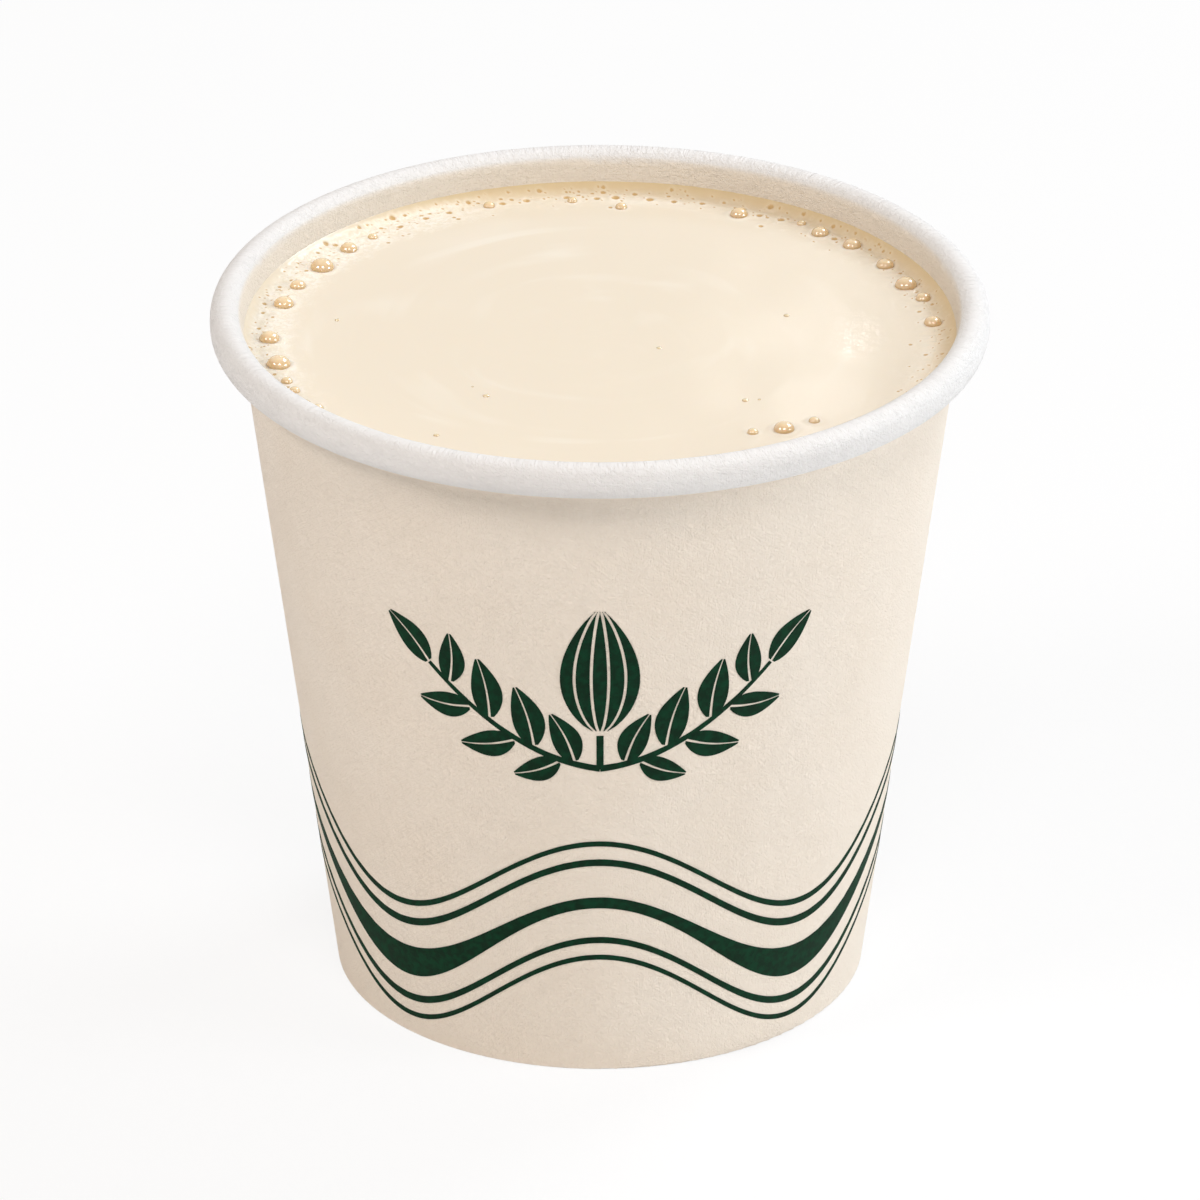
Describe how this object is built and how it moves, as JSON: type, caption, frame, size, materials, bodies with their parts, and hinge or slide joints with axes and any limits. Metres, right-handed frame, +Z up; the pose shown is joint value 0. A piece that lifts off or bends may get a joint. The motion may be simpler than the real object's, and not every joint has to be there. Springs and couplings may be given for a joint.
{
  "type": "white hot chocolate in a paper cup",
  "caption": "Squat single-wall paper cup with a rolled rim, tapering to a recessed base, filled almost to the rim with frothy white hot chocolate.",
  "frame": {"origin": "centre of the foot ring, on the surface that the cup stands on", "axes": "+Z up along the cup's axis; -Y faces the viewer; the wall's lap seam is towards +Y"},
  "size_m": [0.09, 0.09, 0.084],
  "materials": {
    "wall_board": "matte",
    "base_board": "matte",
    "print": "matte",
    "drink": "gloss",
    "froth": "satin"
  },
  "bodies": {
    "root": {"sidewall": "wall_board", "bottom_disc": "base_board", "drink": "drink"}
  },
  "joints": []
}
